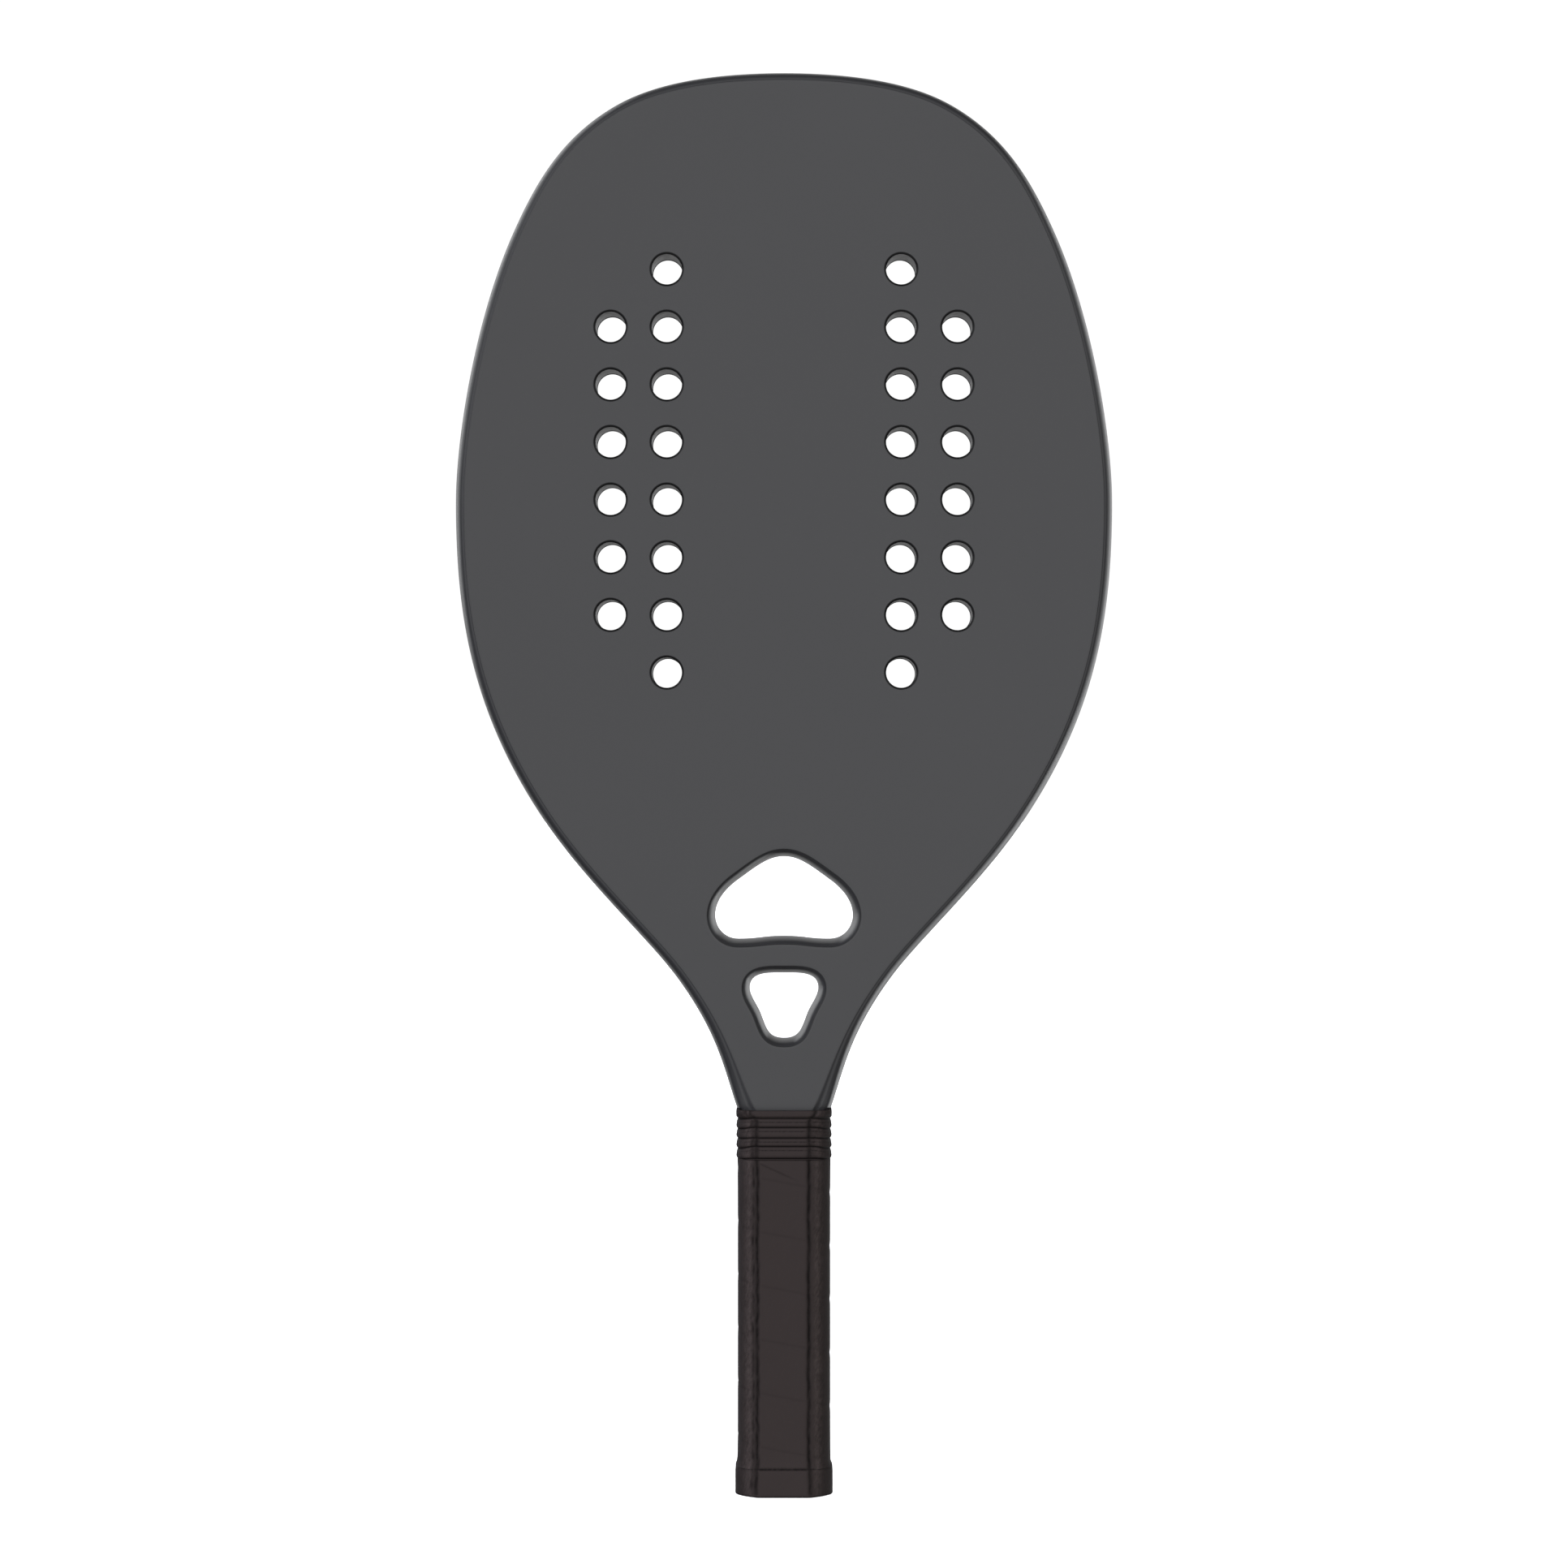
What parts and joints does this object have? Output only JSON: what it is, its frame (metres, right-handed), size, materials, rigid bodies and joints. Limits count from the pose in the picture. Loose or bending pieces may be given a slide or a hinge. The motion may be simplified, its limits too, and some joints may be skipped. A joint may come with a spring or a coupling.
{
  "type": "beach tennis racket",
  "caption": "Foam-cored beach tennis racket with a teardrop head, drilled air holes, a pierced throat and a wrapped octagonal handle.",
  "frame": {"origin": "centre of the butt's end face", "axes": "+Z from the butt to the tip of the head, X across the head, -Y the front face"},
  "size_m": [0.2312, 0.03, 0.5],
  "materials": {
    "racket_lacquer": "satin dark grey lacquer over carbon laminate",
    "bare_carbon": "bare cured carbon laminate",
    "core_foam": "dark grey EVA foam, drilled walls sealed with lacquer",
    "filler_foam": "cream structural foam",
    "pallet_foam": "dense polyurethane foam",
    "plug_foam": "soft black foam",
    "butt_moulding": "fine-grained dark brown-black moulding",
    "seal_moulding": "fine-grained dark brown-black moulding",
    "staple_wire": "galvanised wire",
    "grip_band": "dark brown-black synthetic leather band with a fine grain",
    "finish_tape": "black woven tape",
    "collar_rubber": "dark brown-black moulded rubber"
  },
  "bodies": {
    "root": {"frame_tube": "racket_lacquer", "head_yoke": "bare_carbon", "upper_throat_ring": "racket_lacquer", "lower_throat_ring": "racket_lacquer", "throat_core": "filler_foam", "eva_core": "core_foam", "face_front": "racket_lacquer", "face_rear": "racket_lacquer", "handle_pallet_front": "pallet_foam", "handle_pallet_rear": "pallet_foam", "tube_plug_left": "plug_foam", "tube_plug_right": "plug_foam", "butt_cap": "butt_moulding", "butt_seal": "seal_moulding", "staple_front": "staple_wire", "staple_rear": "staple_wire", "grip_wrap": "grip_band", "finishing_tape": "finish_tape", "grip_collar": "collar_rubber"}
  },
  "joints": []
}
